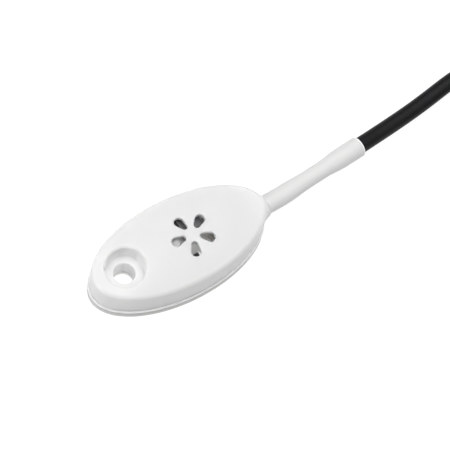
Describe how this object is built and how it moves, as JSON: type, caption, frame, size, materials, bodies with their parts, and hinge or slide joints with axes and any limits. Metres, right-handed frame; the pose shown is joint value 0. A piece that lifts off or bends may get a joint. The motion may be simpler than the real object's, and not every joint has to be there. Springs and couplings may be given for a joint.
{
  "type": "wired digital temperature sensor in an oval vented housing",
  "caption": "White oval vented plastic sensor housing with a sunk screw hole, a flexible strain relief sleeve, and a black round lead put away in a tied hank with a small jack plug.",
  "frame": {"origin": "centre of the oval back face, on the surface that the sensor is fixed to or lies on", "axes": "+X along the oval towards the lead, +Z out of the vented front face, +Y to the left of +X seen from the front"},
  "size_m": [0.1906, 0.0306, 0.0202],
  "materials": {
    "white_plastic": "satin",
    "white_rubber": "satin",
    "black_jacket": "satin",
    "black_plastic": "satin",
    "board": "satin",
    "copper": "polished",
    "tinned_metal": "polished",
    "ceramic_brown": "matte",
    "ceramic_black": "matte",
    "insulation_red": "satin",
    "insulation_yellow": "satin",
    "insulation_black": "satin",
    "nickel": "polished"
  },
  "bodies": {
    "housing": {"back_cover": "white_plastic", "strain_relief_sleeve": "white_rubber", "circuit_board": "board", "board_pads": "copper", "sensor_body": "black_plastic", "sensor_legs": "tinned_metal", "capacitor_core": "ceramic_brown", "resistor_core": "ceramic_black", "chip_ends": "tinned_metal", "solder_joints": "tinned_metal", "wire_black": "insulation_black", "wire_yellow": "insulation_yellow", "wire_red": "insulation_red", "wire_cores": "tinned_metal", "cable_run": "black_jacket", "cable_hank": "black_jacket", "hank_tie": "black_plastic", "plug_grip": "black_plastic", "plug_barrel": "nickel", "plug_ring": "nickel", "plug_tip": "nickel", "plug_insulators": "black_plastic"},
    "cover": {"front_cover": "white_plastic"}
  },
  "joints": [
    {"name": "cover_pull_off", "type": "slide", "parent": "housing", "child": "cover", "axis": [0, 0, 1], "range_m": [0, 0.014]}
  ]
}
